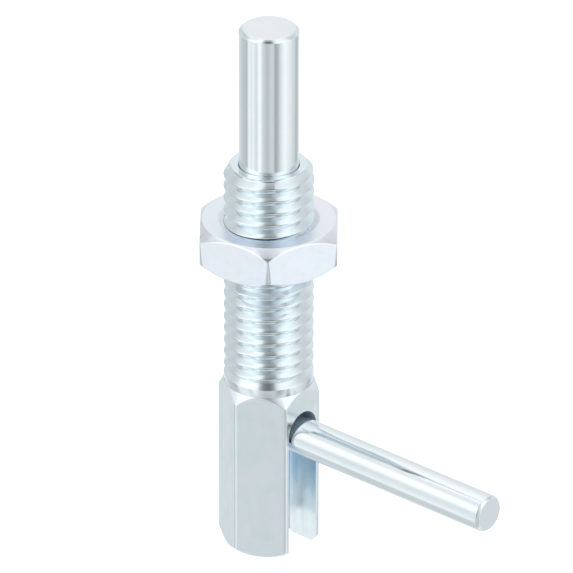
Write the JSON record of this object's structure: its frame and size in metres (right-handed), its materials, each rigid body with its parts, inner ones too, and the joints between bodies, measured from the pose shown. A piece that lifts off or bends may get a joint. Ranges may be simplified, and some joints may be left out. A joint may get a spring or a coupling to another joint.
{
  "type": "indexing plunger",
  "caption": "Spring-loaded locking pin in a threaded sleeve with a hexagon body, a side lever in a slot and a lock nut.",
  "frame": {"origin": "centre of the hexagon body's foot, on the axis of the pin", "axes": "+Z along the pin towards its tip, +X along the lever"},
  "size_m": [0.0481, 0.0196, 0.0756],
  "materials": {
    "zinc_body": "bright zinc plate, blue passivated, satin",
    "ground_pin": "ground and bright zinc plated",
    "polished_lever": "drawn bar, bright zinc plated",
    "zinc_nut": "bright zinc plate, blue passivated",
    "spring_wire": "drawn spring wire"
  },
  "bodies": {
    "housing": {"plunger_body": "zinc_body", "plunger_spring": "spring_wire"},
    "plunger": {"plunger_pin": "ground_pin", "pull_lever": "polished_lever"},
    "nut": {"lock_nut": "zinc_nut"}
  },
  "joints": [
    {"name": "plunger_slide", "type": "slide", "parent": "housing", "child": "plunger", "axis": [0, 0, -1], "range_m": [-0.0009, 0.0202], "stiffness_N_per_m": 840, "springref_m": -0.00027, "deforming": ["plunger_spring"]},
    {"name": "nut_travel", "type": "slide", "parent": "housing", "child": "nut", "axis": [0, 0, 1], "range_m": [-0.01575, 0.007]}
  ]
}
